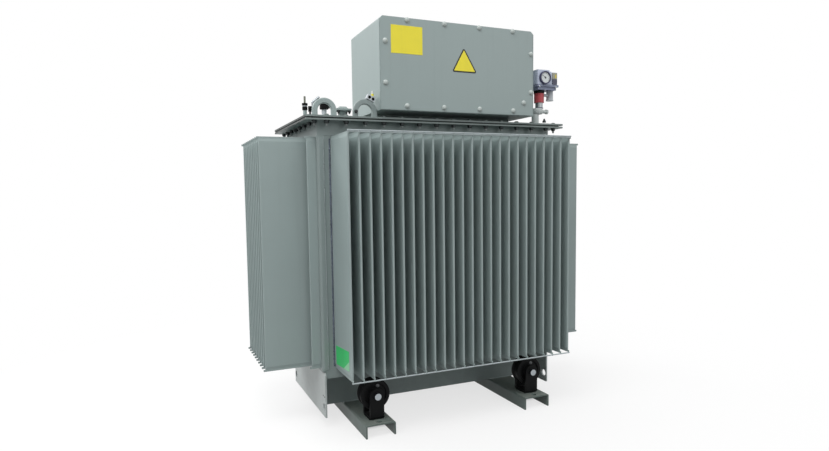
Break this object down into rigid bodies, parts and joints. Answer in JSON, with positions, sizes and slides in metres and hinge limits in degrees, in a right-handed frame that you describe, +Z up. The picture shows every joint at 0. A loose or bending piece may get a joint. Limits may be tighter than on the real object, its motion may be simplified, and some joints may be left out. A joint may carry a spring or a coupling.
{
  "type": "distribution transformer",
  "caption": "Sealed oil-filled distribution transformer: finned tank on skid channels with stowed rollers, bolted lid, top cable box and a protection relay with a dial.",
  "frame": {"origin": "on the floor under the middle of the tank", "axes": "X along the long sides, Y from the box side to the rear, Z up"},
  "size_m": [1.73, 1.076, 1.84],
  "materials": {
    "tank_paint": "satin grey-green paint",
    "base_paint": "satin light grey paint",
    "roller_black": "black paint over cast iron",
    "pin_steel": "turned, unpainted",
    "gasket_rubber": "matt",
    "black_plastic": "matt",
    "relay_case": "blue-grey paint",
    "relay_red": "gloss",
    "dial_case": "matt",
    "window_glass": "clear gloss",
    "fitting_metal": "dull cast"
  },
  "bodies": {
    "tank": {"skid_left": "base_paint", "skid_right": "base_paint", "roller_forks": "roller_black", "roller_pins": "pin_steel", "base_front_wall": "tank_paint", "base_rear_wall": "tank_paint", "end_plate_left": "base_paint", "end_plate_right": "base_paint", "tank_bottom_plate": "tank_paint", "tank_front_wall": "tank_paint", "tank_rear_wall": "tank_paint", "tank_left_wall": "tank_paint", "tank_right_wall": "tank_paint", "tank_collar": "tank_paint", "front_fins": "tank_paint", "rear_fins": "tank_paint", "left_fins": "tank_paint", "right_fins": "tank_paint", "fin_bars": "tank_paint", "tank_flange": "tank_paint", "lid_gasket": "gasket_rubber", "lid": "tank_paint", "cable_box_neck": "tank_paint", "cable_box_body": "tank_paint", "cable_box_cover": "tank_paint", "lifting_lugs": "tank_paint", "low_arch": "tank_paint", "arch_clamp": "tank_paint", "hatch": "tank_paint", "filler": "black_plastic", "small_plug": "black_plastic", "tap_changer": "black_plastic", "tap_lever": "fitting_metal", "relay_pipe": "tank_paint", "relay_upper_pipe": "fitting_metal", "relay_sleeve": "relay_red", "relay_ring": "black_plastic", "relay_base": "relay_case", "relay_body": "relay_case", "relay_dial": "dial_case", "relay_window": "window_glass", "relay_gland": "fitting_metal"},
    "roller_front_left": {"wheel_front_left": "roller_black"},
    "roller_front_right": {"wheel_front_right": "roller_black"},
    "roller_rear_left": {"wheel_rear_left": "roller_black"},
    "roller_rear_right": {"wheel_rear_right": "roller_black"}
  },
  "joints": [
    {"name": "roller_front_left_spin", "type": "hinge", "parent": "tank", "child": "roller_front_left", "pos_m": [-0.41, -0.385, 0.168], "axis": [0, 1, 0], "continuous": true},
    {"name": "roller_front_right_spin", "type": "hinge", "parent": "tank", "child": "roller_front_right", "pos_m": [0.41, -0.385, 0.168], "axis": [0, 1, 0], "continuous": true},
    {"name": "roller_rear_left_spin", "type": "hinge", "parent": "tank", "child": "roller_rear_left", "pos_m": [-0.41, 0.385, 0.168], "axis": [0, 1, 0], "continuous": true},
    {"name": "roller_rear_right_spin", "type": "hinge", "parent": "tank", "child": "roller_rear_right", "pos_m": [0.41, 0.385, 0.168], "axis": [0, 1, 0], "continuous": true}
  ]
}
